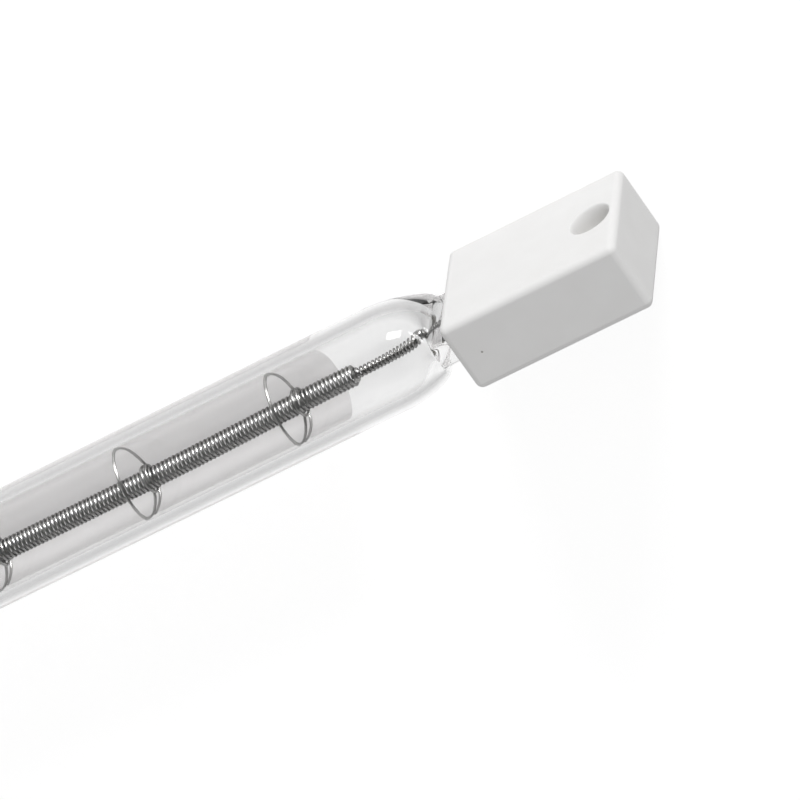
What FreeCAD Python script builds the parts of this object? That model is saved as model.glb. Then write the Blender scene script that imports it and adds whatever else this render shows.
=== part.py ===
"""Double-ended infrared halogen heating tube, in millimetres.

The lamp lies along X with its middle at the origin. Its two ceramic caps stand on their narrow
faces, so Z is up, and the round hole of each cap looks along +Y. End "a" is at +X and end "b",
which is end "a" turned end for end, is at -X.
"""
import FreeCAD, Part

import math
import os

from FreeCAD import Vector

X_AXIS = Vector(1, 0, 0)
Y_AXIS = Vector(0, 1, 0)
Z_AXIS = Vector(0, 0, 1)
ORIGIN = Vector(0, 0, 0)

# Limits for picking edges: a length that counts as nil, and the cosine that parts edges which run
# along a direction from those square to it
NIL = 1e-3
ALONG = 0.5

# Whole lamp, from the outer face of one cap to the outer face of the other
overall_length = 350.0

# Ceramic caps
cap_length = 20.0
cap_width = 15.0
cap_thickness = 8.0
cap_edge_radius = 0.8

# Quartz tube
tube_diameter = 11.0
tube_wall = 1.4

# Flat pinch seal and the domed shoulder that leads to it
pinch_width = 10.0
pinch_thickness = 3.0
pinch_edge_radius = 0.6
pinch_bare_length = 2.6
pinch_seated_length = 11.5
shoulder_length = 6.4
shoulder_foot_thickness = 3.8
shoulder_steps = 5

# Closed end of the hollow, between shoulder and pinch
hollow_setback = 0.9
hollow_end_width = 7.6
hollow_end_thickness = 1.0

# Sealed-off exhaust tip, on the clear side of the tube
tip_height = 1.8
tip_radius = 1.7
tip_point_radius = 0.3
tip_root_depth = 0.4
pump_hole_radius = 0.5

# Cement around the pinch
cement_gap = 0.5
cement_floor = 1.0
pocket_corner_radius = 0.9

# Round hole in the broad face, and the contact button under it
hole_radius = 2.0
hole_from_end = 3.1
hole_depth = 3.1
hole_rim_chamfer = 0.25
contact_head_radius = 2.2
contact_head_height = 1.2
contact_proud = 0.3
contact_edge_chamfer = 0.2
contact_shank_radius = 1.5
contact_clearance = 0.05

# Leads and sealing foil
pin_radius = 0.4
pin_reach = 0.8
pin_channel_clearance = 0.1
foil_length = 9.0
foil_width = 2.5
foil_thickness = 0.05
foil_inset = 2.0
weld_overlap = 2.0
rod_radius = 0.25

# Filament coil, drawn as the sleeve that its close turns fill
coil_radius = 1.15
filament_wire = 0.29
coil_from_cap = 12.55
coil_taper = 0.6
leg_in_glass = 3.7
rod_short_of_coil = 0.4

# Spiral supports, each bent from wire in short flats
support_count = 16
support_wire = 0.22
support_clearance = 0.14
support_first_gap = 8.15
support_loop_degrees = 280.0
support_loop_flats = 12
support_bend_flats = 6
support_grip_degrees = 240.0
support_grip_flats = 7
support_first_turn = 65.0
support_turn_step = 7.0

# Reflector coating on the back of the tube, by its two edges' angles from +Y towards +Z
coating_thickness = 0.06
coating_first_degrees = 176.0
coating_last_degrees = 325.0
coating_short_of_coil = 3.0

# Places along X that follow from the sizes, for end a
tube_radius = tube_diameter / 2
hollow_radius = tube_radius - tube_wall
end_x = overall_length / 2
cap_inner_x = end_x - cap_length
shoulder_foot_x = cap_inner_x - pinch_bare_length
shoulder_start_x = shoulder_foot_x - shoulder_length
hollow_end_x = shoulder_foot_x - hollow_setback
pinch_end_x = cap_inner_x + pinch_seated_length
pocket_end_x = pinch_end_x + cement_floor
hole_x = end_x - hole_from_end
coil_end_x = cap_inner_x - coil_from_cap
leg_end_x = hollow_end_x + leg_in_glass
foil_outer_x = pinch_end_x - foil_inset
foil_inner_x = foil_outer_x - foil_length
leg_radius = rod_radius + filament_wire
hole_floor_y = cap_thickness / 2 - hole_depth
head_top_y = contact_head_height - contact_proud - cap_thickness / 2
foil_top_y = -rod_radius
pin_y = foil_top_y + pin_radius


def cylinder(radius, length, start, direction):
    return Part.makeCylinder(radius, length, start, direction)


def rounded_box(length, thickness, width, corner, edge_radius, direction):
    """Box whose four edges along one direction are rounded."""
    box = Part.makeBox(length, thickness, width, corner)
    edges = [edge for edge in box.Edges
             if abs(edge.tangentAt(edge.FirstParameter).dot(direction)) > ALONG]
    return box.makeFillet(edge_radius, edges)


def rounded_bar(width, thickness, edge_radius, x_start, x_end):
    """Bar along X, wide along Z and thin along Y, with its long edges rounded."""
    corner = Vector(x_start, -thickness / 2, -width / 2)
    return rounded_box(x_end - x_start, thickness, width, corner, edge_radius, X_AXIS)


def turned(outline, axis):
    """Solid of revolution of a closed outline, about an axis through the origin."""
    solid = Part.Face(outline).revolve(ORIGIN, axis, 360)
    if solid.Volume < 0:
        solid.reverse()
    return solid


def oval_wire(x, half_width, half_thickness):
    """Oval section across the lamp, widest along Z."""
    if half_width - half_thickness < NIL:
        curve = Part.Circle(Vector(x, 0, 0), X_AXIS * -1, half_width)
        curve.XAxis = Z_AXIS
    else:
        curve = Part.Ellipse(Vector(x, 0, half_width), Vector(x, half_thickness, 0), Vector(x, 0, 0))
    return Part.Wire([curve.toShape()])


def shoulder(radius, foot_width, foot_thickness, x_start, x_foot):
    """Round tube end drawn flat: it falls to the foot's thickness along a quarter of an ellipse."""
    sections = []
    for step in range(shoulder_steps + 1):
        angle = math.radians(90 * step / shoulder_steps)
        x = x_start + (x_foot - x_start) * math.sin(angle)
        half_thickness = foot_thickness / 2 + (radius - foot_thickness / 2) * math.cos(angle)
        half_width = foot_width / 2 + (radius - foot_width / 2) * math.cos(angle)
        sections.append(oval_wire(x, half_width, half_thickness))
    return Part.makeLoft(sections, True, True)


def both_ends(shape):
    """The shape at end a and its copy turned end for end, for end b."""
    return shape, shape.rotated(ORIGIN, Y_AXIS, 180)


def coil_leg():
    return cylinder(leg_radius, leg_end_x - coil_end_x - coil_taper,
                    Vector(coil_end_x + coil_taper, 0, 0), X_AXIS)


def inner_lead_rod():
    rod_start_x = coil_end_x + coil_taper + rod_short_of_coil
    rod_end_x = foil_inner_x + weld_overlap
    return cylinder(rod_radius, rod_end_x - rod_start_x, Vector(rod_start_x, 0, 0), X_AXIS)


def sealing_foil():
    """Foil welded flat under the rod and the pin, each of which lies on it along one line."""
    corner = Vector(foil_inner_x, foil_top_y - foil_thickness, -foil_width / 2)
    return Part.makeBox(foil_length, foil_thickness, foil_width, corner)


def outer_lead_pin():
    pin_start_x = foil_outer_x - weld_overlap
    pin_end_x = hole_x + pin_reach
    return cylinder(pin_radius, pin_end_x - pin_start_x, Vector(pin_start_x, pin_y, 0), X_AXIS)


def exhaust_tip():
    """Small pointed blob of glass where the pump stem was melted off."""
    root_z = tube_radius - tip_root_depth
    return Part.makeCone(tip_radius, tip_point_radius, tip_height + tip_root_depth,
                         Vector(0, 0, root_z), Z_AXIS)


def pump_hole():
    start_z = hollow_radius - tip_root_depth
    return cylinder(pump_hole_radius, tube_radius - start_z, Vector(0, 0, start_z), Z_AXIS)


def quartz_envelope():
    """One blown piece: tube, two shoulders, two pinches and the exhaust tip."""
    glass = cylinder(tube_radius, 2 * shoulder_start_x, Vector(-shoulder_start_x, 0, 0), X_AXIS)
    hollow = cylinder(hollow_radius, 2 * shoulder_start_x, Vector(-shoulder_start_x, 0, 0), X_AXIS)
    outer_shoulder = shoulder(tube_radius, pinch_width, shoulder_foot_thickness,
                              shoulder_start_x, shoulder_foot_x)
    inner_shoulder = shoulder(hollow_radius, hollow_end_width, hollow_end_thickness,
                              shoulder_start_x, hollow_end_x)
    pinch = rounded_bar(pinch_width, pinch_thickness, pinch_edge_radius, hollow_end_x, pinch_end_x)
    for outer, inner, blade in zip(both_ends(outer_shoulder), both_ends(inner_shoulder),
                                   both_ends(pinch)):
        glass = glass.fuse([outer, blade])
        hollow = hollow.fuse(inner)
    sealed_in = [coil_leg(), inner_lead_rod(), sealing_foil(), outer_lead_pin()]
    leads = [piece for lead in sealed_in for piece in both_ends(lead)]
    glass = glass.fuse(exhaust_tip()).removeSplitter()
    return glass.cut([hollow.removeSplitter(), pump_hole()] + leads)


def reflector_coating():
    """Thin curved skin on the back of the tube, under the coil."""
    length = 2 * (coil_end_x - coating_short_of_coil)
    first = math.radians(coating_first_degrees)
    last = math.radians(coating_last_degrees)
    middle = (first + last) / 2

    def edge_point(radius, angle):
        return Vector(-length / 2, radius * math.cos(angle), radius * math.sin(angle))

    outer_radius = tube_radius + coating_thickness
    outer_arc = Part.Arc(*[edge_point(outer_radius, angle) for angle in (first, middle, last)])
    inner_arc = Part.Arc(*[edge_point(tube_radius, angle) for angle in (last, middle, first)])
    sides = [Part.makeLine(edge_point(outer_radius, last), edge_point(tube_radius, last)),
             Part.makeLine(edge_point(tube_radius, first), edge_point(outer_radius, first))]
    outline = Part.Wire([outer_arc.toShape(), sides[0], inner_arc.toShape(), sides[1]])
    return Part.Face(outline).extrude(X_AXIS * length)


def filament():
    """Coil and its two thinner legs in one wire, turned as the sleeve that the wire fills."""
    bore_radius = coil_radius - filament_wire
    leg_x = coil_end_x + coil_taper
    end_a = [(coil_end_x, coil_radius), (leg_x, leg_radius), (leg_end_x, leg_radius),
             (leg_end_x, rod_radius), (leg_x, rod_radius), (coil_end_x, bore_radius)]
    end_b = [(-x, radius) for x, radius in reversed(end_a)]
    points = [Vector(x, 0, radius) for x, radius in end_a + end_b + end_a[:1]]
    return turned(Part.makePolygon(points), X_AXIS)


def flats_round(centre_y, radius, first, last, count):
    """Corners of a row of flats that touch an arc of a circle about a point on the Y axis."""
    step = math.radians(last - first) / count
    corner_radius = radius / math.cos(step / 2)
    angles = [math.radians(first) + (index + 0.5) * step for index in range(count)]
    return [Vector(0, centre_y + corner_radius * math.cos(angle), corner_radius * math.sin(angle))
            for angle in angles]


def support_ring(x, turn):
    """Open wire loop that springs out to the tube, turns inwards and grips the coil."""
    half_wire = support_wire / 2
    loop_radius = hollow_radius - support_clearance - half_wire
    grip_radius = coil_radius + half_wire
    bend_radius = (loop_radius + grip_radius) / 2
    bend_centre = loop_radius - bend_radius
    last_grip = 180 + support_grip_degrees

    def side(offset):
        loop_start = flats_round(0, loop_radius + offset, -support_loop_degrees,
                                 0, support_loop_flats)
        bend = flats_round(bend_centre, bend_radius + offset, 0, 180, support_bend_flats)
        grip = flats_round(0, grip_radius + offset, 180, last_grip, support_grip_flats)
        return loop_start + bend + grip

    outline = side(half_wire) + side(-half_wire)[::-1]
    ring = Part.Face(Part.makePolygon(outline + outline[:1])).extrude(X_AXIS * support_wire)
    ring.translate(Vector(-half_wire, 0, 0))
    ring.rotate(ORIGIN, X_AXIS, turn)
    ring.translate(X_AXIS * x)
    return ring


def pinch_pocket():
    return rounded_bar(pinch_width + 2 * cement_gap, pinch_thickness + 2 * cement_gap,
                       pocket_corner_radius, cap_inner_x, pocket_end_x)


def ceramic_cap():
    """Pressed block with rounded edges, a pocket for the pinch and a stepped hole across its end."""
    corner = Vector(cap_inner_x, -cap_thickness / 2, -cap_width / 2)
    rounded = [rounded_box(cap_length, cap_thickness, cap_width, corner, cap_edge_radius, direction)
               for direction in (X_AXIS, Y_AXIS, Z_AXIS)]
    block = rounded[0].common(rounded[1]).common(rounded[2])
    channel = cylinder(pin_radius + pin_channel_clearance, hole_x - pocket_end_x,
                       Vector(pocket_end_x, pin_y, 0), X_AXIS)
    hole = cylinder(hole_radius, hole_depth, Vector(hole_x, cap_thickness / 2, 0), Y_AXIS * -1)
    shank_bore = cylinder(contact_shank_radius + contact_clearance, cap_thickness,
                          Vector(hole_x, hole_floor_y, 0), Y_AXIS * -1)
    head_seat = cylinder(contact_head_radius + contact_clearance, cap_thickness,
                         Vector(hole_x, head_top_y, 0), Y_AXIS * -1)
    cap = block.cut([pinch_pocket(), channel, hole, shank_bore, head_seat])
    rim = [edge for edge in cap.Edges
           if abs(edge.BoundBox.YMin - cap_thickness / 2) < NIL
           and abs(edge.BoundBox.XLength - 2 * hole_radius) < NIL]
    return cap.makeChamfer(hole_rim_chamfer, rim)


def cap_cement():
    pinch = rounded_bar(pinch_width, pinch_thickness, pinch_edge_radius, hollow_end_x, pinch_end_x)
    return pinch_pocket().cut([pinch, outer_lead_pin()])


def contact():
    """Turned button: flat head in the hidden broad face, shank with a cross hole for the lead."""
    head_y = -cap_thickness / 2 - contact_proud
    head = cylinder(contact_head_radius, contact_head_height, Vector(hole_x, head_y, 0), Y_AXIS)
    face_rim = [edge for edge in head.Edges if abs(edge.BoundBox.YMax - head_y) < NIL]
    head = head.makeChamfer(contact_edge_chamfer, face_rim)
    shank = cylinder(contact_shank_radius, hole_floor_y - head_top_y,
                     Vector(hole_x, head_top_y, 0), Y_AXIS)
    return head.fuse(shank).removeSplitter().cut(outer_lead_pin())


def lamp_pieces():
    pieces = {"quartz_envelope": quartz_envelope(),
              "reflector_coating": reflector_coating(),
              "filament": filament()}
    support_span = 2 * (coil_end_x - support_first_gap)
    for index in range(support_count):
        x = support_span * (0.5 - index / (support_count - 1))
        turn = support_first_turn + support_turn_step * index
        pieces["support_ring_%02d" % (index + 1)] = support_ring(x, turn)
    for name, make in [("ceramic_cap", ceramic_cap), ("cap_cement", cap_cement),
                       ("contact", contact), ("outer_lead_pin", outer_lead_pin),
                       ("sealing_foil", sealing_foil), ("inner_lead_rod", inner_lead_rod)]:
        for end, shape in zip("ab", both_ends(make())):
            pieces[name + "_" + end] = shape
    return pieces


os.makedirs("parts", exist_ok=True)
for node, shape in lamp_pieces().items():
    shape.exportStep("parts/%s.step" % node)
    print("%-20s solids %d  volume %9.3f mm3  valid %s"
          % (node, len(shape.Solids), shape.Volume, shape.isValid()))
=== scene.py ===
# %% [markdown]
# # An infrared halogen heating tube
#
# A halogen heat lamp is a tube of clear quartz glass with a long tungsten coil inside. Little wire
# spirals hold the coil in the middle, a white coating on the back of the tube throws the heat
# forwards, and a block of white ceramic sits on each flattened end.
#
# The CAD model comes first, because it says where everything is and how large. It is loaded as a
# fixed frame. The pieces made here stand in the same places with finer shapes and real finishes.
# All lengths are in metres, so sizes in millimetres are multiplied by MM.

import math
import random

import bmesh
import bpy
from mathutils import Matrix, Quaternion, Vector


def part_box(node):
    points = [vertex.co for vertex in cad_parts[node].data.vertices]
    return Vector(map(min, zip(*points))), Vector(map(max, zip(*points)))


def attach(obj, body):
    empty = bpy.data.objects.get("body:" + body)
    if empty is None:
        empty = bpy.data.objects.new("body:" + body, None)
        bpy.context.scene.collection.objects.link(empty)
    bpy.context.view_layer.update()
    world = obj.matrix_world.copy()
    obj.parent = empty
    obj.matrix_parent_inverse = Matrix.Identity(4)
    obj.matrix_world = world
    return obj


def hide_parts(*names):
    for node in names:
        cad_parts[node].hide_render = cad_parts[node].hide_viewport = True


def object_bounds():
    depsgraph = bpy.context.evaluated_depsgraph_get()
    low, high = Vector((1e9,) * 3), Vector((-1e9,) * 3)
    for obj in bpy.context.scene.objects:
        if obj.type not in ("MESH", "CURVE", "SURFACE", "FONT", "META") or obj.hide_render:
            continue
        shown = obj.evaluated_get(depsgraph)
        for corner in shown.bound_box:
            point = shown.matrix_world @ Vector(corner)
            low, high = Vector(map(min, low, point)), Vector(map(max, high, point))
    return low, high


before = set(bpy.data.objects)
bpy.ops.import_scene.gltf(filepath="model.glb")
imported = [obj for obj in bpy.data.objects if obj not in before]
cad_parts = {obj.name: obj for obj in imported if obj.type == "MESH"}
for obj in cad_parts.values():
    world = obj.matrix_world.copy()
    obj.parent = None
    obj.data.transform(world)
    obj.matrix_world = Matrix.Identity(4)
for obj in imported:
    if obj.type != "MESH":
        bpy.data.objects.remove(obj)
cad_low, cad_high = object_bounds()
scene = bpy.context.scene
scene.view_settings.view_transform = "Standard"
# A ray that runs along inside the glass is reflected many times before it comes out, and each of
# these reflections counts as a glossy bounce.
scene.cycles.max_bounces = 16
scene.cycles.transmission_bounces = 16
scene.cycles.glossy_bounces = 16
MM = 0.001
print("CAD box in mm:", [round(side / MM, 2) for side in cad_high - cad_low])

# %% [markdown]
# ## Where things are
#
# The main places are read from the CAD model, so that the two can't drift apart. The lamp lies
# along X with its middle at the origin. The box of one cap gives its faces, the box of the glass
# gives the tube's radius, and the box of the filament gives the ends of its legs. The same numbers
# could be typed in again, but then a change in CAD would have to be made twice. Small sizes, such
# as a wall or a gap, are named values in the cells that use them.

# %% Read the places from the frame
cap_low, cap_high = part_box("ceramic_cap_a")
cap_inner_x = cap_low.x
cap_outer_x = cap_high.x
cap_length = cap_outer_x - cap_inner_x
cap_thickness = cap_high.y - cap_low.y
cap_width = cap_high.z - cap_low.z

glass_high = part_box("quartz_envelope")[1]
tube_radius = glass_high.y
pinch_end_x = glass_high.x
tip_height = glass_high.z - tube_radius

coil_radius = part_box("filament")[1].y
leg_end_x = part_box("filament")[1].x
rod_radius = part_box("inner_lead_rod_a")[1].y
pin_low, pin_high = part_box("outer_lead_pin_a")
pin_radius = (pin_high.z - pin_low.z) / 2
pin_y = (pin_high.y + pin_low.y) / 2

ring_names = sorted(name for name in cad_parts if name.startswith("support_ring"))
ring_places = [sum(corner.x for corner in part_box(name)) / 2 for name in ring_names]
print("tube radius %.2f mm, %d supports" % (tube_radius / MM, len(ring_names)))

# %% [markdown]
# ## The camera
#
# The photograph is taken with a long lens from above the end of the lamp, and the picture is
# turned so far that the lamp runs from the lower left to the upper right. A camera that looks at
# one point is described by two angles around that point, a distance and a roll about its own line
# of sight. The lens length comes from how slowly the cap's edges run together in the picture.
#
# A camera can also be pushed about by hand until the picture fits. With angles, each number does
# one thing, so each can be fitted on its own.

# %% Camera at the photograph's angle
CAMERA_ELEVATION = 56.916
CAMERA_AZIMUTH = 141.130
CAMERA_ROLL = -171.976
CAMERA_DISTANCE = 790.8 * MM
LENS_LENGTH = 360
AIM_FROM_CAP_END = Vector((-31.04, -5.63, -1.83)) * MM


def direction(azimuth, elevation):
    """Unit vector from the lamp towards a place around it, 0 degrees being the -Y side."""
    turn, rise = math.radians(azimuth), math.radians(elevation)
    flat = math.cos(rise)
    return Vector((math.sin(turn) * flat, -math.cos(turn) * flat, math.sin(rise)))


aim = Vector((cap_outer_x, 0, 0)) + AIM_FROM_CAP_END
towards_camera = direction(CAMERA_AZIMUTH, CAMERA_ELEVATION)
camera = bpy.data.objects.new("photo_camera", bpy.data.cameras.new("photo_camera"))
camera.data.lens = LENS_LENGTH
camera.data.clip_start = 10 * MM
camera.location = aim + towards_camera * CAMERA_DISTANCE
camera.rotation_mode = "QUATERNION"
roll = Quaternion((0, 0, 1), math.radians(CAMERA_ROLL))
camera.rotation_quaternion = (-towards_camera).to_track_quat("-Z", "Y") @ roll
scene.collection.objects.link(camera)
scene.camera = camera
print("camera at", [round(value, 3) for value in camera.location])

# %% [markdown]
# ## Helpers for node materials
#
# A material is a small network of nodes. It can be clicked together in the editor, but then nobody
# can read later why a number is what it is. Three helpers keep the code for it short: one adds a
# node and fills in its sockets, one adds a link, and one starts a material with a Principled
# shader.

# %% Node helpers
def add_node(tree, kind, **values):
    """Adds a node. Names of its own settings are set on it, and other names fill its sockets."""
    node = tree.nodes.new(kind)
    for name, value in values.items():
        if hasattr(node, name):
            setattr(node, name, value)
        else:
            node.inputs[name.replace("_", " ")].default_value = value
    return node


def join(tree, source, target):
    tree.links.new(source, target)


def new_material(name, **principled):
    """Material with one Principled shader, whose sockets are given as words with underscores."""
    material = bpy.data.materials.new(name)
    material.use_nodes = True
    tree = material.node_tree
    tree.nodes.clear()
    shader = add_node(tree, "ShaderNodeBsdfPrincipled", **principled)
    output = add_node(tree, "ShaderNodeOutputMaterial")
    join(tree, shader.outputs["BSDF"], output.inputs["Surface"])
    return material, tree, shader, output


# %% [markdown]
# ## The white surround
#
# The photograph has a plain white surround. A bright world could make it, but it would wash out
# the white caps too. So the world lights the lamp evenly at a lower level, and only the rays that
# the camera sees meet white, straight or by way of metal or glass. The Light Path node tells them
# apart.
#
# Polished wire and glass need something to show besides white, or they look like drawings. In a
# studio they mirror the unlit part of the room behind the photographer. So rays that come by way
# of metal or glass find a soft dark patch overhead. The dot product of the ray's direction and the
# patch's direction says how far the ray points away from it.

# %% World
WORLD_LEVEL = 0.51
DARK_AZIMUTH = 141
DARK_ELEVATION = 68
DARK_LEVEL = 0.1
DARK_WHOLE = math.cos(math.radians(38))
DARK_EDGE = math.cos(math.radians(62))


def seen_rays(tree):
    """1 for rays from the camera, off glossy surfaces or through glass, and 0 for all others."""
    path = add_node(tree, "ShaderNodeLightPath")
    seen = path.outputs["Is Camera Ray"]
    for kind in ("Is Glossy Ray", "Is Transmission Ray"):
        either = add_node(tree, "ShaderNodeMath", operation="MAXIMUM")
        join(tree, seen, either.inputs[0])
        join(tree, path.outputs[kind], either.inputs[1])
        seen = either.outputs[0]
    return seen


world = bpy.data.worlds.new("white_surround")
scene.world = world
world.use_nodes = True
tree = world.node_tree
tree.nodes.clear()
seen = seen_rays(tree)
level = add_node(tree, "ShaderNodeMapRange", To_Min=WORLD_LEVEL, To_Max=1.0)
join(tree, seen, level.inputs["Value"])

towards = add_node(tree, "ShaderNodeVectorMath", operation="DOT_PRODUCT")
join(tree, add_node(tree, "ShaderNodeTexCoord").outputs["Generated"], towards.inputs[0])
towards.inputs[1].default_value = direction(DARK_AZIMUTH, DARK_ELEVATION)
room = add_node(tree, "ShaderNodeMapRange", interpolation_type="SMOOTHSTEP",
                From_Min=DARK_EDGE, From_Max=DARK_WHOLE, To_Min=1.0, To_Max=DARK_LEVEL)
join(tree, towards.outputs["Value"], room.inputs["Value"])

mirrored_rays = add_node(tree, "ShaderNodeMath", operation="SUBTRACT")
join(tree, seen, mirrored_rays.inputs[0])
join(tree, add_node(tree, "ShaderNodeLightPath").outputs["Is Camera Ray"],
     mirrored_rays.inputs[1])
strength = add_node(tree, "ShaderNodeMix", data_type="FLOAT")
join(tree, mirrored_rays.outputs[0], strength.inputs["Factor"])
join(tree, level.outputs["Result"], strength.inputs["A"])
join(tree, room.outputs["Result"], strength.inputs["B"])
surround = add_node(tree, "ShaderNodeBackground", Color=(1, 1, 1, 1))
join(tree, strength.outputs["Result"], surround.inputs["Strength"])
join(tree, surround.outputs[0], add_node(tree, "ShaderNodeOutputWorld").inputs["Surface"])
print("world lights at %.2f and is mirrored from %.2f to 1" % (WORLD_LEVEL, DARK_LEVEL))

# %% [markdown]
# ## The floor
#
# The lamp lies on a white table. An empty background would do for the white, but a soft shadow
# shows that the lamp lies on something. The floor's own shading carries that shadow, and a glow
# that only seen rays meet lifts the rest to white. Rays that pass through the glass end here too,
# so the floor's level also decides how light the clear glass looks.

# %% Floor
FLOOR_COLOUR = (0.74, 0.74, 0.74, 1)
FLOOR_GLOW = 0.61
FLOOR_RADIUS = 8.0

floor_look, tree, shader, _ = new_material(
    "floor_white", Base_Color=FLOOR_COLOUR, Roughness=0.9, Specular_IOR_Level=0.0,
    Emission_Color=(1, 1, 1, 1))
glow = add_node(tree, "ShaderNodeMath", operation="MULTIPLY")
glow.inputs[1].default_value = FLOOR_GLOW
join(tree, seen_rays(tree), glow.inputs[0])
join(tree, glow.outputs[0], shader.inputs["Emission Strength"])

bm = bmesh.new()
bmesh.ops.create_circle(bm, cap_ends=True, segments=64, radius=FLOOR_RADIUS,
                        matrix=Matrix.Translation((0, 0, cad_low.z)))
floor_mesh = bpy.data.meshes.new("floor")
bm.to_mesh(floor_mesh)
bm.free()
floor_mesh.materials.append(floor_look)
floor = bpy.data.objects.new("floor", floor_mesh)
scene.collection.objects.link(floor)
print("floor at %.2f mm" % (cad_low.z / MM))

# %% [markdown]
# ## The lamp
#
# The caps' broad faces are lighter than their narrow faces, so most light comes from that side. A
# sun would draw shadows with hard edges. A large square area lamp is as soft as a studio lamp
# behind cloth, and its mirror image is the small white window on the dome of the glass.

# %% Soft lamp
KEY_AZIMUTH = 157.0
KEY_ELEVATION = 8.0
KEY_DISTANCE = 1.5
KEY_SIDE = 0.6
KEY_POWER = 15.4

key_lamp = bpy.data.objects.new("key_lamp", bpy.data.lights.new("key_lamp", "AREA"))
key_lamp.data.shape = "SQUARE"
key_lamp.data.size = KEY_SIDE
key_lamp.data.energy = KEY_POWER
towards_lamp = direction(KEY_AZIMUTH, KEY_ELEVATION)
key_lamp.location = Vector((cap_outer_x, 0, 0)) + towards_lamp * KEY_DISTANCE
key_lamp.rotation_mode = "QUATERNION"
key_lamp.rotation_quaternion = (-towards_lamp).to_track_quat("-Z", "Y")
key_lamp.visible_camera = False
scene.collection.objects.link(key_lamp)

# %% [markdown]
# ## Grain
#
# Fired ceramic, cement and drawn wire are all a little uneven. A painted picture could show that,
# but it would need unwrapped faces and would blur close up. Noise has no seams and stays sharp.
# Several finishes need it, so it is a node group that is built once. It gives a fine height for a
# Bump node, and a broad tone for the colour. It reads object coordinates, so the pattern is fixed
# to the lamp and has a real size in metres.

# %% Node group for grain
BROAD_SHARE = 0.12


def new_group(name, inputs, outputs):
    """Shader node group with named number inputs and outputs."""
    group = bpy.data.node_groups.new(name, "ShaderNodeTree")
    for label, value in inputs.items():
        socket = group.interface.new_socket(label, in_out="INPUT", socket_type="NodeSocketFloat")
        socket.default_value = value
    for label in outputs:
        group.interface.new_socket(label, in_out="OUTPUT", socket_type="NodeSocketFloat")
    return group, add_node(group, "NodeGroupInput"), add_node(group, "NodeGroupOutput")


grain_group, given, result = new_group("grain", {"Scale": 2000.0, "Detail": 4.0},
                                       ["Height", "Tone"])
place = add_node(grain_group, "ShaderNodeTexCoord")
noise = add_node(grain_group, "ShaderNodeTexNoise")
join(grain_group, place.outputs["Object"], noise.inputs["Vector"])
join(grain_group, given.outputs["Scale"], noise.inputs["Scale"])
join(grain_group, given.outputs["Detail"], noise.inputs["Detail"])
join(grain_group, noise.outputs["Fac"], result.inputs["Height"])
broad = add_node(grain_group, "ShaderNodeMath", operation="MULTIPLY")
broad.inputs[1].default_value = BROAD_SHARE
join(grain_group, given.outputs["Scale"], broad.inputs[0])
patches = add_node(grain_group, "ShaderNodeTexNoise", Detail=2.0)
join(grain_group, place.outputs["Object"], patches.inputs["Vector"])
join(grain_group, broad.outputs[0], patches.inputs["Scale"])
join(grain_group, patches.outputs["Fac"], result.inputs["Tone"])
print("group", grain_group.name, "with", len(grain_group.nodes), "nodes")

# %% [markdown]
# ## Specks
#
# White ceramic has a few tiny dark spots, where grains of iron burnt in. Spots could be modelled
# or painted one by one, but a cell texture scatters them by itself. It divides space into cells
# with a point and a random colour each. A spot is drawn around the point of about every fifth
# cell, and it only shows where that point lies close to the surface.

# %% Node group for specks
SHARE_OF_CELLS = 0.2

specks_group, given, result = new_group("specks", {"Scale": 300.0, "Size": 0.1}, ["Mask"])
place = add_node(specks_group, "ShaderNodeTexCoord")
cells = add_node(specks_group, "ShaderNodeTexVoronoi")
join(specks_group, place.outputs["Object"], cells.inputs["Vector"])
join(specks_group, given.outputs["Scale"], cells.inputs["Scale"])
near = add_node(specks_group, "ShaderNodeMath", operation="LESS_THAN")
join(specks_group, cells.outputs["Distance"], near.inputs[0])
join(specks_group, given.outputs["Size"], near.inputs[1])
chosen = add_node(specks_group, "ShaderNodeSeparateColor")
join(specks_group, cells.outputs["Color"], chosen.inputs[0])
few = add_node(specks_group, "ShaderNodeMath", operation="LESS_THAN")
few.inputs[1].default_value = SHARE_OF_CELLS
join(specks_group, chosen.outputs[0], few.inputs[0])
both = add_node(specks_group, "ShaderNodeMath", operation="MULTIPLY")
join(specks_group, near.outputs[0], both.inputs[0])
join(specks_group, few.outputs[0], both.inputs[1])
join(specks_group, both.outputs[0], result.inputs["Mask"])
print("group", specks_group.name, "with", len(specks_group.nodes), "nodes")

# %% [markdown]
# ## Effects inside a material
#
# Nearly every finish below is made in the same two moves: the grain goes into the Normal socket as
# a shallow bump, and its tone slides the colour between two near shades. A helper for each keeps
# the finishes short, and lets each one have its own scale and its own depth.

# %% Helpers for relief and tone
def put_grain(tree, shader, scale, bump, depth):
    """Places the grain group in a material, as a bump of a real depth in metres."""
    grain = add_node(tree, "ShaderNodeGroup", node_tree=grain_group)
    grain.inputs["Scale"].default_value = scale
    relief = add_node(tree, "ShaderNodeBump", Strength=bump, Distance=depth)
    join(tree, grain.outputs["Height"], relief.inputs["Height"])
    join(tree, relief.outputs["Normal"], shader.inputs["Normal"])
    return grain


def tint(tree, mask, first, second):
    """Colour between two others by a mask from 0 to 1. Each is a colour or a node's output."""
    mix = add_node(tree, "ShaderNodeMix", data_type="RGBA")
    sockets = [socket for socket in mix.inputs if socket.type == "RGBA"]
    for socket, colour in zip(sockets, (first, second)):
        if isinstance(colour, tuple):
            socket.default_value = colour
        else:
            join(tree, colour, socket)
    join(tree, mask, mix.inputs["Factor"])
    return [socket for socket in mix.outputs if socket.type == "RGBA"][0]


# %% [markdown]
# ## Ceramic
#
# The caps are steatite, an unglazed white ceramic: matte, faintly warm, with fine grain and a rare
# dark speck. A flat white would look like plastic, so grain and specks break it up. The
# photographed cap also has one clear speck in its narrow face. That one has to sit in its own
# place, so it is drawn by the distance from a point.

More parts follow.
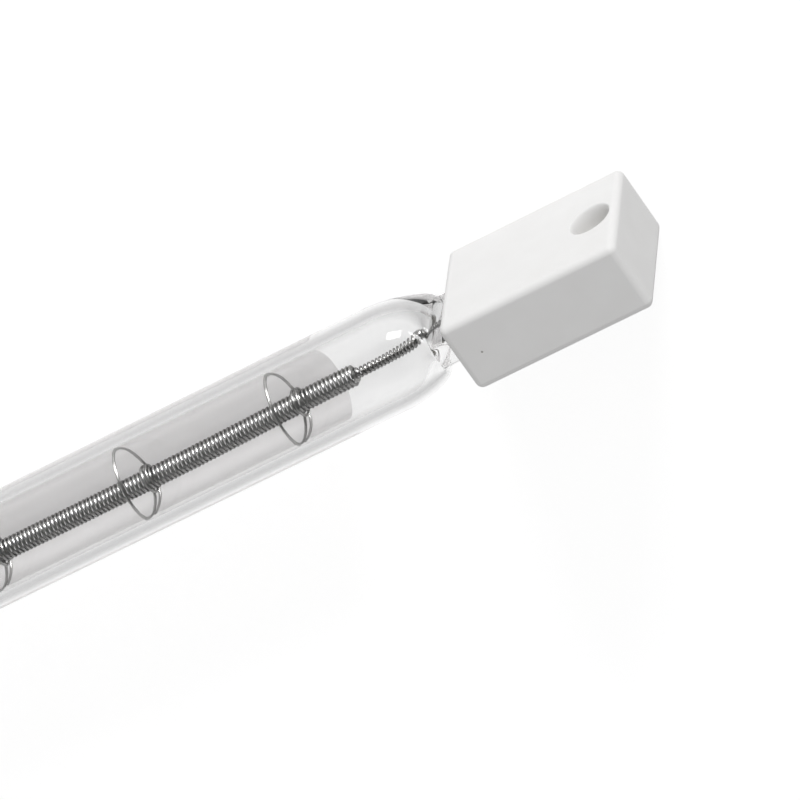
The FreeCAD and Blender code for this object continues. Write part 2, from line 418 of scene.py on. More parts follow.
# %% White ceramic
SPOT_PLACE = Vector((157.7, -0.1, 7.5)) * MM
SPOT_RADIUS = 0.12 * MM
SPOT_COLOUR = (0.4, 0.39, 0.37, 1)
SPECK_COLOUR = (0.3, 0.27, 0.24, 1)
SPECK_CELLS_PER_METRE = 260
SPECK_SHARE_OF_CELL = 0.035

ceramic, tree, shader, _ = new_material("cap_ceramic", Roughness=0.62, Specular_IOR_Level=0.35)
grain = put_grain(tree, shader, scale=2600, bump=0.35, depth=0.02 * MM)
clean = tint(tree, grain.outputs["Tone"], (0.83, 0.825, 0.818, 1), (0.88, 0.878, 0.874, 1))
specks = add_node(tree, "ShaderNodeGroup", node_tree=specks_group)
specks.inputs["Scale"].default_value = SPECK_CELLS_PER_METRE
specks.inputs["Size"].default_value = SPECK_SHARE_OF_CELL
speckled = tint(tree, specks.outputs["Mask"], clean, SPECK_COLOUR)
from_spot = add_node(tree, "ShaderNodeVectorMath", operation="DISTANCE")
join(tree, add_node(tree, "ShaderNodeTexCoord").outputs["Object"], from_spot.inputs[0])
from_spot.inputs[1].default_value = SPOT_PLACE
in_spot = add_node(tree, "ShaderNodeMath", operation="LESS_THAN")
in_spot.inputs[1].default_value = SPOT_RADIUS
join(tree, from_spot.outputs["Value"], in_spot.inputs[0])
join(tree, tint(tree, in_spot.outputs[0], speckled, SPOT_COLOUR), shader.inputs["Base Color"])
print("made", ceramic.name)

# %% [markdown]
# ## Reflector coating
#
# The coating is a chalky white skin, so thin that more than half of the light that reaches it
# comes out at its back. Lit from one side only, a solid white would be bright in one half of the
# tube and dark in the other. A Translucent shader mixed with the plain one brings the light of both
# sides together, and it is why the coated side looks evenly grey from the front.

# %% Translucent white coating
COATING_DEEP = (0.91, 0.903, 0.903, 1)
COATING_LIGHT = (0.945, 0.938, 0.938, 1)
COATING_SHINES_THROUGH = 0.65

coating, tree, shader, output = new_material(
    "coating_white", Roughness=0.9, Specular_IOR_Level=0.2)
grain = put_grain(tree, shader, scale=3500, bump=0.3, depth=0.01 * MM)
white = tint(tree, grain.outputs["Tone"], COATING_DEEP, COATING_LIGHT)
join(tree, white, shader.inputs["Base Color"])
through = add_node(tree, "ShaderNodeBsdfTranslucent")
join(tree, white, through.inputs["Color"])
skin = add_node(tree, "ShaderNodeMixShader", Fac=COATING_SHINES_THROUGH)
join(tree, shader.outputs["BSDF"], skin.inputs[1])
join(tree, through.outputs["BSDF"], skin.inputs[2])
join(tree, skin.outputs["Shader"], output.inputs["Surface"])
print("made", coating.name)

# %% [markdown]
# ## Cement and metals
#
# The cement around the pinch is a coarse off-white mass, with a deep bump for its grit. The coil
# and its supports are drawn tungsten wire, a dark metal with a satin skin. A metal's base colour is
# what it mirrors straight on, and a lowered specular tint keeps its edges from turning white. The
# leads and foils are brighter molybdenum, and the contact buttons are nickel. Each could be built
# node by node, but all four are one recipe with other numbers, so one function makes them.

# %% Cement, tungsten, molybdenum and nickel
def grained(name, low, high, scale, bump, depth, **principled):
    """Material whose colour lies between two near shades and whose relief is fine grain."""
    material, tree, shader, _ = new_material(name, **principled)
    grain = put_grain(tree, shader, scale, bump, depth)
    join(tree, tint(tree, grain.outputs["Tone"], (*low, 1), (*high, 1)),
         shader.inputs["Base Color"])
    print("made", name)
    return material


cement = grained("cement_grey", (0.68, 0.66, 0.61), (0.80, 0.78, 0.73),
                 scale=1500, bump=0.8, depth=0.08 * MM, Roughness=0.95, Specular_IOR_Level=0.2)
tungsten = grained("tungsten_wire", (0.31, 0.308, 0.303), (0.42, 0.418, 0.41),
                   scale=9000, bump=0.2, depth=0.004 * MM, Metallic=1.0, Roughness=0.3,
                   Specular_Tint=(0.5, 0.5, 0.5, 1))
molybdenum = grained("molybdenum_bright", (0.42, 0.41, 0.40), (0.50, 0.49, 0.48),
                     scale=6000, bump=0.2, depth=0.004 * MM, Metallic=1.0, Roughness=0.28)
nickel = grained("contact_nickel", (0.55, 0.53, 0.49), (0.63, 0.61, 0.57),
                 scale=5000, bump=0.15, depth=0.004 * MM, Metallic=1.0, Roughness=0.25)

# %% [markdown]
# ## Quartz
#
# Clear glass seen against white shows only where its surface slants. There a ray takes the long
# way through the wall and meets darker things, so the real tube has a grey band along each edge. A
# dark dye in the glass could make such bands, but it also turns the walls into dark light guides.
# So a colour ramp paints them into the glass's base colour as painted shade, from the slant that
# Layer Weight gives. The attribute "outer_skin" keeps this painted shade off the inner surface,
# which would repeat it.
#
# Light that only passes through to the inside goes straight on by a Transparent shader, for shadow
# rays and for diffuse rays. A bent path would take long to trace and leave the inside dark.

# %% Clear quartz glass
QUARTZ_IOR = 1.46
QUARTZ_PLAIN = 0.90
# Painted shade: ramp stops from the slant to a grey, darkest where the outer wall is seen at a
# slant.
QUARTZ_PAINTED_EDGE_SHADES = {0.26: QUARTZ_PLAIN, 0.35: 0.62, 0.45: 0.36, 0.56: 0.46, 0.66: 0.75, 0.82: 0.95}
OUTER_SKIN = "outer_skin"

quartz, tree, shader, output = new_material(
    "quartz_clear", Roughness=0.0, IOR=QUARTZ_IOR, Transmission_Weight=1.0)
# Painted shade: the ramp darkens the outer skin's base colour by its slant, standing in for the
# grey edge bands.
slant = add_node(tree, "ShaderNodeLayerWeight", Blend=0.5)
drawn = add_node(tree, "ShaderNodeValToRGB")
join(tree, slant.outputs["Facing"], drawn.inputs["Fac"])
stops = drawn.color_ramp.elements
while len(stops) < len(QUARTZ_PAINTED_EDGE_SHADES):
    stops.new(0.5)
for stop, (place, shade) in zip(stops, QUARTZ_PAINTED_EDGE_SHADES.items()):
    stop.position = place
    stop.color = (shade, shade, shade, 1)
outer = add_node(tree, "ShaderNodeAttribute", attribute_name=OUTER_SKIN)
plain = (QUARTZ_PLAIN, QUARTZ_PLAIN, QUARTZ_PLAIN, 1)
join(tree, tint(tree, outer.outputs["Fac"], plain, drawn.outputs["Color"]),
     shader.inputs["Base Color"])

path = add_node(tree, "ShaderNodeLightPath")
lighting = add_node(tree, "ShaderNodeMath", operation="MAXIMUM")
join(tree, path.outputs["Is Shadow Ray"], lighting.inputs[0])
join(tree, path.outputs["Is Diffuse Ray"], lighting.inputs[1])
clear = add_node(tree, "ShaderNodeBsdfTransparent")
either = add_node(tree, "ShaderNodeMixShader")
join(tree, lighting.outputs[0], either.inputs[0])
join(tree, shader.outputs["BSDF"], either.inputs[1])
join(tree, clear.outputs["BSDF"], either.inputs[2])
join(tree, either.outputs["Shader"], output.inputs["Surface"])
print("materials:", [material.name for material in bpy.data.materials])

# %% [markdown]
# ## Turning a mesh into a finished piece
#
# Each piece is built in a bmesh, which is Blender's editable mesh. At the end it becomes an object
# at the origin with its place in its vertices. It then gets its material, rides on the lamp's one
# body and hides the CAD solid that it stands for.
#
# Shading is smooth except where two faces meet at more than a set angle. Cutting one piece out of
# another leaves long thin faces on the flat sides, and smooth shading would show them as streaks.
# Weighted normals give the large faces their say, so that flat sides look flat after a cut.

# %% Finish a piece
SHARP_ANGLE = math.radians(35)


def finish_piece(bm, name, material, node):
    """Object from a bmesh, smooth except along sharp corners. It stands for one CAD solid."""
    mesh = bpy.data.meshes.new(name)
    bm.to_mesh(mesh)
    bm.free()
    mesh.materials.append(material)
    mesh.shade_smooth()
    mesh.set_sharp_from_angle(angle=SHARP_ANGLE)
    piece = bpy.data.objects.new(name, mesh)
    scene.collection.objects.link(piece)
    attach(piece, "root")
    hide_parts(node)
    print("%-18s %6d faces" % (name, len(mesh.polygons)))
    return piece


def helper_object(bm, name):
    """Object without a finish, which is used for shaping and then removed."""
    mesh = bpy.data.meshes.new(name)
    bm.to_mesh(mesh)
    bm.free()
    helper = bpy.data.objects.new(name, mesh)
    scene.collection.objects.link(helper)
    return helper


def apply_modifiers(piece):
    """Replaces the mesh of a piece by what its modifiers make of it."""
    evaluated = piece.evaluated_get(bpy.context.evaluated_depsgraph_get())
    shaped = bpy.data.meshes.new_from_object(evaluated)
    piece.modifiers.clear()
    piece.data = shaped


def carve(piece, *cutters):
    """Cuts helper objects out of a piece, removes them and evens out the shading."""
    for cutter in cutters:
        cut = piece.modifiers.new("cut", "BOOLEAN")
        cut.operation = "DIFFERENCE"
        cut.solver = "EXACT"
        cut.object = cutter
    apply_modifiers(piece)
    for cutter in cutters:
        bpy.data.objects.remove(cutter)
    piece.data.set_sharp_from_angle(angle=SHARP_ANGLE)
    even = piece.modifiers.new("even_shading", "WEIGHTED_NORMAL")
    even.keep_sharp = True
    apply_modifiers(piece)


# %% [markdown]
# ## The shape of the glass
#
# A real lamp starts as a straight quartz tube. Each end is heated until it is soft and pressed
# flat between two jaws, which leaves a dome that runs into a flat strip. Here the same thing
# happens to a mesh pipe of unit size: each of its rings is moved to its place along X and pressed
# to its own oval. A superellipse does for both shapes, because with a power of 2 it is an ellipse,
# and with a high power it is nearly a rectangle.
#
# A tube, a half ball and a block could also be joined by booleans and then smoothed. That would
# leave the seam to chance, and it is just the seam, the soft run from round to flat, that catches
# the eye on a real lamp. The rings of the dome follow a quarter of an ellipse, and a few more run
# out into the flat pinch.

# %% Pipe with an oval at each ring
SHOULDER_START = 9.0 * MM
SHOULDER_FOOT = 2.6 * MM
FOOT_FILLET = 0.6 * MM
FILLET_RINGS = 5
PINCH_WIDTH = 10.0 * MM
PINCH_THICKNESS = 3.0 * MM
DOME_RINGS = 14
ROUND = 2
FOOT_POWER = 4
PRESSED = 9
SQUARED_LATE = 4

foot_x = cap_inner_x - SHOULDER_FOOT


def oval_pipe(rings, around):
    """Closed pipe along X. Each ring is (x, half height, half thickness, power of its oval)."""
    bm = bmesh.new()
    last = len(rings) - 1
    bmesh.ops.create_cone(bm, cap_ends=True, segments=around, radius1=1, radius2=1, depth=last)
    bmesh.ops.translate(bm, verts=bm.verts, vec=(0, 0, last / 2))
    long_edges = [edge for edge in bm.edges
                  if round(edge.verts[0].co.z) != round(edge.verts[1].co.z)]
    if last > 1:
        bmesh.ops.subdivide_edges(bm, edges=long_edges, cuts=last - 1)
    for vert in bm.verts:
        x, half_height, half_thickness, power = rings[round(vert.co.z)]
        across, up = (math.copysign(abs(part) ** (2 / power), part) for part in vert.co.xy)
        vert.co = (x, half_thickness * across, half_height * up)
    bmesh.ops.recalc_face_normals(bm, faces=bm.faces)
    return bm


def dome(radius, foot_width, foot_thickness, foot_x, foot_power):
    """Rings of one domed shoulder, from the round tube to the oval at its foot."""
    start_x = cap_inner_x - SHOULDER_START
    rings = []
    for step in range(DOME_RINGS + 1):
        angle = math.radians(90) * step / DOME_RINGS
        rings.append((start_x + (foot_x - start_x) * math.sin(angle),
                      foot_width / 2 + (radius - foot_width / 2) * math.cos(angle),
                      foot_thickness / 2 + (radius - foot_thickness / 2) * math.cos(angle),
                      ROUND + (foot_power - ROUND) * (step / DOME_RINGS) ** SQUARED_LATE))
    return rings


def fillet():
    """Rings of the hollow curve in which the shoulder runs out into the flat pinch."""
    rings = []
    for step in range(1, FILLET_RINGS + 1):
        angle = math.radians(90) * step / FILLET_RINGS
        rings.append((foot_x + FOOT_FILLET * (1 - math.cos(angle)), PINCH_WIDTH / 2,
                      PINCH_THICKNESS / 2 + FOOT_FILLET * (1 - math.sin(angle)),
                      FOOT_POWER + (PRESSED - FOOT_POWER) * step / FILLET_RINGS))
    return rings


def mirrored(half):
    """Rings for both halves of the lamp, from rings that run from the middle to the +X end."""
    return [(-x, *rest) for x, *rest in reversed(half)] + half


# %% [markdown]
# ## The glass itself
#
# The glass has an outside and a hollow, and both are such pipes. The hollow's faces are turned
# round, so that they look into the hollow: that is how a renderer knows where glass begins and
# ends. The hollow could be cut out by a boolean, but nothing touches here, so putting both skins
# into one mesh is enough. At its ends the hollow closes to almost nothing, where the jaws pressed
# its walls together.
#
# The lamp was pumped empty and filled through a stem, which was then melted off on the tube's clear
# side. So dense rings in the middle of the tube are pulled out to a small point there.

# %% Outside, hollow and exhaust tip
AROUND_GLASS = 144
TUBE_WALL = 1.4 * MM
HOLLOW_SETBACK = 0.4 * MM
HOLLOW_END_WIDTH = 2.4 * MM
HOLLOW_END_THICKNESS = 0.06 * MM
TIP_ROOT = 2.1 * MM
TIP_ROUNDING = 0.12 * MM
TIP_RING_STEP = 0.12 * MM
PUMP_HOLE = 0.45 * MM
PUMP_DEPTH = 1.5 * MM


def middle_rings(radius):
    """Dense rings from the middle of the tube to just past the tip's root."""
    count = math.ceil(TIP_ROOT / TIP_RING_STEP) + 1
    return [((index + 0.5) * TIP_RING_STEP, radius, radius, ROUND) for index in range(count)]


def pull_out(bm, height):
    """Moves the clear side's glass outwards by a height that depends on the way from the tip."""
    for vert in bm.verts:
        if vert.co.z > 0:
            vert.co.z += height(math.hypot(vert.co.x, vert.co.y))


def tip_outside(way):
    soft = math.hypot(way, TIP_ROUNDING) - TIP_ROUNDING
    return tip_height * max(0, 1 - soft / TIP_ROOT) ** 2


def tip_inside(way):
    return PUMP_DEPTH * math.exp(-(way / PUMP_HOLE) ** 2)


hollow_radius = tube_radius - TUBE_WALL
outside = oval_pipe(mirrored(
    middle_rings(tube_radius)
    + dome(tube_radius, PINCH_WIDTH, PINCH_THICKNESS + 2 * FOOT_FILLET, foot_x, FOOT_POWER)
    + fillet() + [(pinch_end_x, PINCH_WIDTH / 2, PINCH_THICKNESS / 2, PRESSED)]), AROUND_GLASS)
pull_out(outside, tip_outside)
skin_layer = outside.verts.layers.float.new(OUTER_SKIN)
for vert in outside.verts:
    vert[skin_layer] = 1
hollow = oval_pipe(mirrored(
    middle_rings(hollow_radius)
    + dome(hollow_radius, HOLLOW_END_WIDTH, HOLLOW_END_THICKNESS, foot_x - HOLLOW_SETBACK,
           ROUND)),
    AROUND_GLASS)
pull_out(hollow, tip_inside)
bmesh.ops.reverse_faces(hollow, faces=hollow.faces)
hollow_mesh = bpy.data.meshes.new("hollow")
hollow.to_mesh(hollow_mesh)
hollow.free()
outside.from_mesh(hollow_mesh)
bpy.data.meshes.remove(hollow_mesh)
finish_piece(outside, "quartz_tube", quartz, "quartz_envelope")

# %% [markdown]
# ## The reflector coating
#
# The white skin covers part of the tube's back. It could be the glass faces there with a second
# material, but the real skin has a thickness and an end that shows as a crisp curve. So its
# profile is a thin rectangle, and a part turn about the lamp's axis sweeps it into a shell. The
# skin reaches a hair into the glass, so light inside the glass meets it directly, as it does where
# a coating is fired on.

# %% Coating as a part turn
COATING_FIRST_ANGLE = 176.0
COATING_LAST_ANGLE = 325.0
COATING_THICKNESS = 0.06 * MM
COATING_INTO_GLASS = 0.01 * MM
COATING_STEPS = 48
coating_end_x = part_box("reflector_coating")[1].x


def turned_part(points, steps, first_angle, last_angle):
    """Sweeps a closed outline of (x, radius) points about the X axis."""
    bm = bmesh.new()
    sweep = math.radians(last_angle - first_angle)
    verts = [bm.verts.new((x, radius, 0)) for x, radius in points]
    outline = bm.faces.new(verts)
    bmesh.ops.rotate(bm, verts=verts, matrix=Matrix.Rotation(math.radians(first_angle), 3, "X"))
    bmesh.ops.spin(bm, geom=[outline], cent=(0, 0, 0), axis=(1, 0, 0), angle=sweep, steps=steps)
    bmesh.ops.recalc_face_normals(bm, faces=bm.faces)
    return bm


skin = [(-coating_end_x, tube_radius - COATING_INTO_GLASS),
        (coating_end_x, tube_radius - COATING_INTO_GLASS),
        (coating_end_x, tube_radius + COATING_THICKNESS),
        (-coating_end_x, tube_radius + COATING_THICKNESS)]
finish_piece(turned_part(skin, COATING_STEPS, COATING_FIRST_ANGLE, COATING_LAST_ANGLE),
             "coating_skin", coating, "reflector_coating")

# %% [markdown]
# ## The coil
#
# The filament is one wire from end to end: some six hundred turns for the coil, and a thinner
# winding at each end that is the leg. A curve with a round bevel could follow a helix, but its
# points would have to be worked out one by one. Spin does that by itself, because it can move the
# wire's small round section along the axis while it turns it. It makes a stretch of eight turns,
# and an Array modifier repeats that stretch and joins the copies, which is much faster.
#
# The legs are then drawn in: the wire is moved towards the axis, which narrows the winding around
# the rod inside it and leaves the wire as thick as it was. A hot coil also hangs a little and
# keeps that sag.

# %% Wire wound in a helix
WIRE_SIDES = 6
COIL_WIRE_RADIUS = 0.165 * MM
COIL_PITCH = 0.467 * MM
COIL_STEPS = 12
TURNS_IN_STRETCH = 8
COIL_FROM_CAP = 12.55 * MM
COIL_TAPER = 0.6 * MM
SAME_PLACE = 0.001 * MM
SAG = 0.34 * MM
SAG_SPAN = 24.0 * MM
SAG_DIRECTION = Vector((0, -0.8926, 0.4510))

coil_end_x = cap_inner_x - COIL_FROM_CAP
leg_radius = rod_radius + 2 * COIL_WIRE_RADIUS


def sag_at(x):
    """How far the coil hangs off the axis, from nothing at its ends to its full sag."""
    way = min(1, max(0, (coil_end_x - abs(x)) / SAG_SPAN))
    return SAG_DIRECTION * SAG * way * way * (3 - 2 * way)


def wound_wire(start_x, pitch, radius, wire_radius, first_angle, steps, steps_in_turn):
    """Wire that winds about X, as a bmesh whose vertices lie in order along the wire."""
    bm = bmesh.new()
    place = Matrix.Rotation(first_angle, 4, "X") @ Matrix.Translation((start_x, radius, 0))
    first = bmesh.ops.create_circle(bm, cap_ends=False, segments=WIRE_SIDES, radius=wire_radius,
                                    matrix=place)["verts"]
    rim = list({edge for vert in first for edge in vert.link_edges})
    bmesh.ops.spin(bm, geom=first + rim, cent=(0, 0, 0), axis=(1, 0, 0),
                   dvec=(pitch / steps_in_turn, 0, 0), steps=steps,
                   angle=math.tau * steps / steps_in_turn)
    return bm


def close_ends(bm):
    """Fills the two open ends of a wire."""
    bmesh.ops.holes_fill(bm, edges=[edge for edge in bm.edges if edge.is_boundary], sides=0)
    bmesh.ops.recalc_face_normals(bm, faces=bm.faces)


def repeated(bm, count, step_x):
    """Copies of a stretch of winding, each joined to the one before."""
    stretch = helper_object(bm, "stretch")
    copies = stretch.modifiers.new("copies", "ARRAY")
    copies.count = count
    copies.use_relative_offset = False
    copies.use_constant_offset = True
    copies.constant_offset_displace = (step_x, 0, 0)
    copies.use_merge_vertices = True
    copies.merge_threshold = SAME_PLACE
    evaluated = stretch.evaluated_get(bpy.context.evaluated_depsgraph_get())
    whole = bmesh.new()
    whole.from_mesh(evaluated.to_mesh())
    bpy.data.objects.remove(stretch)
    return whole


def drawn_in(point):
    """Moves a point of the coil inwards where the wire is a leg, and down with the sag."""
    past = min(1, max(0, (abs(point.x) - coil_end_x) / COIL_TAPER))
    narrowing = (coil_radius - leg_radius) * past
    outwards = Vector((0, point.y, point.z)).normalized()
    return point - outwards * narrowing + sag_at(point.x)


stretches = round(2 * leg_end_x / (COIL_PITCH * TURNS_IN_STRETCH))
pitch = 2 * leg_end_x / (stretches * TURNS_IN_STRETCH)
bm = repeated(wound_wire(-leg_end_x, pitch, coil_radius - COIL_WIRE_RADIUS, COIL_WIRE_RADIUS, 0,
                         COIL_STEPS * TURNS_IN_STRETCH, COIL_STEPS),
              stretches, pitch * TURNS_IN_STRETCH)
for vert in bm.verts:
    vert.co = drawn_in(vert.co.copy())
close_ends(bm)
finish_piece(bm, "coil_wire", tungsten, "filament")

# %% [markdown]
# ## The supports
#
# Each support is one piece of springy wire. It starts with a free end against the glass, goes
# round the tube once and lies beside its own beginning there. Then it curls inwards below the coil
# and ends in a little more than one loose turn around it. One model could be copied sixteen times,
# but hand-wound wires all differ a little. So each is wound like the coil, and then each section is
# moved in or out and along, with a turn and a lean of its own. Only the inner turn follows the
# coil's sag, because the outer loops rest on the glass.

# %% Spiral supports
RING_WIRE_RADIUS = 0.15 * MM
RING_STEPS = 24
RING_START = 150.0
LOOP_RADIUS = 3.8 * MM
LOOP_OFFSET = 0.35 * MM
CURL_FROM = 500.0
CURL_TO = 690.0
GRIP_TURNS = 1.25
GRIP_PITCH = 0.5 * MM
GRIP_SLACK = 0.1 * MM
GRIP_OFFSET = 1.3 * MM
GRIP_SHIFT_LATER = 20
FREE_END_OFFSET = 0.31 * MM
FREE_END_STRAIGHT = 50
FREE_END_BACK = 140
FREE_END_BOW = 0.25 * MM
FREE_END_BOW_LENGTH = 130
RING_TURN_STEP = 7.0
RING_SEED = 4
RING_LEAN = 0.04


def eased(value, first, last):
    """0 before first, 1 after last and a soft step between."""
    way = min(1, max(0, (value - first) / (last - first)))
    return way * way * (3 - 2 * way)


def support_piece(name, x, turn, lean):
    """One support at x, turned by an angle about the axis and leaning along it."""
    grip_radius = coil_radius + RING_WIRE_RADIUS + GRIP_SLACK
    last_angle = CURL_TO + 360 * GRIP_TURNS
    steps = round((last_angle - RING_START) * RING_STEPS / 360)
    bm = wound_wire(x, 0, LOOP_RADIUS, RING_WIRE_RADIUS, math.radians(RING_START + turn), steps,
                    RING_STEPS)

    bm.verts.ensure_lookup_table()
    for index in range(0, len(bm.verts), WIRE_SIDES):
        section = bm.verts[index:index + WIRE_SIDES]
        middle = sum((vert.co for vert in section), Vector()) / WIRE_SIDES
        outwards = Vector((0, middle.y, middle.z)).normalized()
        angle = RING_START + index / WIRE_SIDES * 360 / RING_STEPS
        curl = eased(angle, CURL_FROM, CURL_TO)
        radius = LOOP_RADIUS + (grip_radius - LOOP_RADIUS) * curl
        past = angle - RING_START
        along = LOOP_OFFSET
        along += FREE_END_OFFSET * (1 - eased(past, FREE_END_STRAIGHT, FREE_END_BACK))
        along += FREE_END_BOW * math.sin(math.pi * min(1, past / FREE_END_BOW_LENGTH)) ** 2
        along += GRIP_OFFSET * eased(angle, CURL_FROM + GRIP_SHIFT_LATER, CURL_TO)
        along += GRIP_PITCH * max(0, angle - CURL_TO) / 360
        along += lean * radius * outwards.z * (1 - curl)
        move = Vector((x + along, 0, 0)) + outwards * radius + sag_at(x) * curl - middle
        bmesh.ops.translate(bm, verts=section, vec=move)
    close_ends(bm)
    finish_piece(bm, name.replace("support_ring", "support_wire"), tungsten, name)


chance = random.Random(RING_SEED)
for index, (name, x) in enumerate(zip(ring_names, ring_places)):
    support_piece(name, x, RING_TURN_STEP * index, chance.uniform(-RING_LEAN, RING_LEAN))

# %% [markdown]
# ## The ceramic caps
#
# A cap is pressed from powder and fired, so its edges are all softly rounded. Its faces could be
# built around the openings one by one, but a block is easier to understand: it starts as a cube
# that is stretched and bevelled. Three cutters then make its openings: a turned one for the round
# hole and the stepped seat of the contact under it, an oval one for the pocket that takes the
# pinch, and a thin one for the lead between the two. The hole's cutter flares towards its mouth in
# a deep soft curve, as a pressed hole does.

# %% Cap with its openings
CAP_EDGE = 0.8 * MM
CAP_EDGE_STEPS = 8
HOLE_RADIUS = 2.0 * MM
HOLE_FROM_END = 3.1 * MM
HOLE_DEPTH = 3.1 * MM
HOLE_RIM = 0.35 * MM
HOLE_RIM_DEPTH = 1.2 * MM
RIM_STEPS = 8
HOLE_SEGMENTS = 64
HEAD_RADIUS = 2.2 * MM
HEAD_HEIGHT = 1.2 * MM
HEAD_PROUD = 0.3 * MM
SHANK_RADIUS = 1.5 * MM
SEAT_CLEARANCE = 0.05 * MM
CHANNEL_CLEARANCE = 0.1 * MM
CEMENT_GAP = 0.5 * MM
CEMENT_FLOOR = 1.0 * MM
PAST_FACE = 1.0 * MM
POCKET_SEGMENTS = 96
CHANNEL_SEGMENTS = 24

hole_x = cap_outer_x - HOLE_FROM_END
broad_face_y = cap_high.y
hidden_face_y = cap_low.y
hole_floor_y = broad_face_y - HOLE_DEPTH
head_top_y = hidden_face_y - HEAD_PROUD + HEAD_HEIGHT
pocket_end_x = pinch_end_x + CEMENT_FLOOR


def turned_about_y(points, segments, x):
    """Solid turned about a line along Y, from (y, radius) points that begin and end on it."""
    bm = bmesh.new()
    verts = [bm.verts.new((radius, y, 0)) for y, radius in points]
    edges = [bm.edges.new(pair) for pair in zip(verts, verts[1:])]
    bmesh.ops.spin(bm, geom=verts + edges, cent=(0, 0, 0), axis=(0, 1, 0), angle=math.tau,
                   steps=segments, use_merge=True)
    bmesh.ops.remove_doubles(bm, verts=bm.verts, dist=SAME_PLACE)
    bmesh.ops.recalc_face_normals(bm, faces=bm.faces)
    bmesh.ops.translate(bm, verts=bm.verts, vec=(x, 0, 0))
    return bm


def stepped_hole():
    """Cutter for the round hole with its flared mouth, and for the contact's seat below it."""
    outline = [(hidden_face_y - PAST_FACE, 0),
               (hidden_face_y - PAST_FACE, HEAD_RADIUS + SEAT_CLEARANCE),
               (head_top_y, HEAD_RADIUS + SEAT_CLEARANCE),
               (head_top_y, SHANK_RADIUS + SEAT_CLEARANCE),
               (hole_floor_y, SHANK_RADIUS + SEAT_CLEARANCE), (hole_floor_y, HOLE_RADIUS)]
    for step in range(RIM_STEPS + 1):
        angle = math.radians(90) * step / RIM_STEPS
        outline.append((broad_face_y - HOLE_RIM_DEPTH + HOLE_RIM_DEPTH * math.sin(angle),
                        HOLE_RADIUS + HOLE_RIM * (1 - math.cos(angle))))
    mouth = HOLE_RADIUS + HOLE_RIM
    outline += [(broad_face_y + PAST_FACE, mouth), (broad_face_y + PAST_FACE, 0)]
    return turned_about_y(outline, HOLE_SEGMENTS, hole_x)


def straight_pipe(start_x, end_x, half_height, half_thickness, power, segments):
    return oval_pipe([(start_x, half_height, half_thickness, power),
                      (end_x, half_height, half_thickness, power)], segments)


def pocket_pipe(start_x, end_x, gap):
    """Pipe with the pinch's section and a gap all around."""
    return straight_pipe(start_x, end_x, PINCH_WIDTH / 2 + gap, PINCH_THICKNESS / 2 + gap, PRESSED,
                         POCKET_SEGMENTS)


def at_end(bm, end):
    """Turns a shape that was made for end a round to its own end."""
    if end == "b":
        bmesh.ops.rotate(bm, verts=bm.verts, matrix=Matrix.Rotation(math.pi, 3, "Y"))
    return bm


def cap_piece(end):
    """Bevelled block with its round hole, pocket and channel."""
    bm = bmesh.new()
    bmesh.ops.create_cube(bm, size=1)
    bmesh.ops.scale(bm, verts=bm.verts, vec=(cap_length, cap_thickness, cap_width))
    bmesh.ops.translate(bm, verts=bm.verts, vec=(cap_inner_x + cap_length / 2, 0, 0))
    bmesh.ops.bevel(bm, geom=bm.edges[:], offset=CAP_EDGE, offset_type="OFFSET",
                    segments=CAP_EDGE_STEPS, profile=0.5, affect="EDGES", material=-1)
    bmesh.ops.recalc_face_normals(bm, faces=bm.faces)
    cap = finish_piece(at_end(bm, end), "cap_block_" + end, ceramic,
                       "ceramic_cap_" + end)

    pocket = pocket_pipe(cap_inner_x - PAST_FACE, pocket_end_x, CEMENT_GAP)
    channel_radius = pin_radius + CHANNEL_CLEARANCE
    channel = straight_pipe(pinch_end_x, hole_x, channel_radius, channel_radius, ROUND,
                            CHANNEL_SEGMENTS)
    bmesh.ops.translate(channel, verts=channel.verts, vec=(0, pin_y, 0))
    carve(cap, helper_object(at_end(pocket, end), "pocket_cutter"),
          helper_object(at_end(channel, end), "channel_cutter"),
          helper_object(at_end(stepped_hole(), end), "hole_cutter"))


for end in "ab":
    cap_piece(end)

# %% [markdown]
# ## Cement
#
# Ceramic cement fills the pocket around the pinch and holds the cap on the glass. It could be
# poured in as a fluid simulation, but only the narrow face between glass and ceramic ever shows.
# So it is a plug in the pocket's shape, a little short of the cap's face, and the pinch is cut out
# of it.

# %% Cement in the pocket
CEMENT_SETBACK = 0.15 * MM


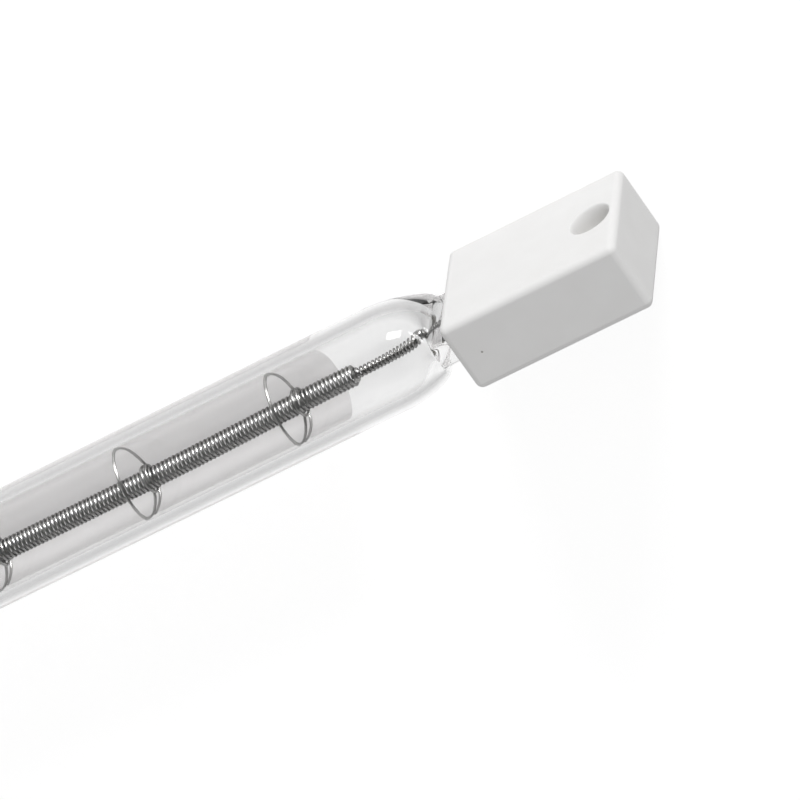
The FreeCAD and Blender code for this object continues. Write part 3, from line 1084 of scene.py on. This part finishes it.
def cement_piece(end):
    """Plug around the pinch of one end."""
    bm = pocket_pipe(cap_inner_x + CEMENT_SETBACK, pocket_end_x, CEMENT_GAP)
    plug = finish_piece(at_end(bm, end), "cement_plug_" + end, cement,
                        "cap_cement_" + end)
    pinch = pocket_pipe(cap_inner_x - PAST_FACE, pinch_end_x, 0)
    carve(plug, helper_object(at_end(pinch, end), "pinch_cutter"))


for end in "ab":
    cement_piece(end)

# %% [markdown]
# ## Contacts
#
# A lamp holder's spring presses on a metal button in each cap's hidden broad face, and current
# flows through the button to the lead. The real one is turned on a lathe, so it is made the same
# way here: its outline is spun about its own axis. A cylinder with a bevel would be quicker, but
# its head would be flat, and a slightly domed head is what catches the light.

# %% Contact buttons
HEAD_ROUNDING = 0.25 * MM
HEAD_CROWN = 0.12 * MM
HEAD_STEPS = 5


def contact_piece(end):
    """Crowned head in the hidden broad face, and a shank up to the floor of the hole."""
    face_y = hidden_face_y - HEAD_PROUD
    flat = HEAD_RADIUS - HEAD_ROUNDING
    outline = []
    for step in range(HEAD_STEPS + 1):
        way = step / HEAD_STEPS
        outline.append((face_y + HEAD_CROWN * way * way, flat * way))
    for step in range(1, HEAD_STEPS + 1):
        angle = math.radians(90) * step / HEAD_STEPS
        outline.append((face_y + HEAD_CROWN + HEAD_ROUNDING * (1 - math.cos(angle)),
                        flat + HEAD_ROUNDING * math.sin(angle)))
    outline += [(head_top_y, HEAD_RADIUS), (head_top_y, SHANK_RADIUS),
                (hole_floor_y, SHANK_RADIUS), (hole_floor_y, 0)]
    button = turned_about_y(outline, HOLE_SEGMENTS, hole_x)
    finish_piece(at_end(button, end), "contact_button_" + end, nickel,
                 "contact_" + end)


for end in "ab":
    contact_piece(end)

# %% [markdown]
# ## Solids that stay
#
# The leads and the sealing foils are plain round rods and thin strips inside the coil's legs, the
# pinches and the caps. They could be built again like the rest, but the CAD solids are already
# right, so they only get their metal.

# %% Metal for the leads and foils
for name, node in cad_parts.items():
    if name.startswith(("inner_lead_rod", "outer_lead_pin", "sealing_foil")):
        for slot in node.material_slots:
            slot.material = molybdenum
        print("metal on", name)
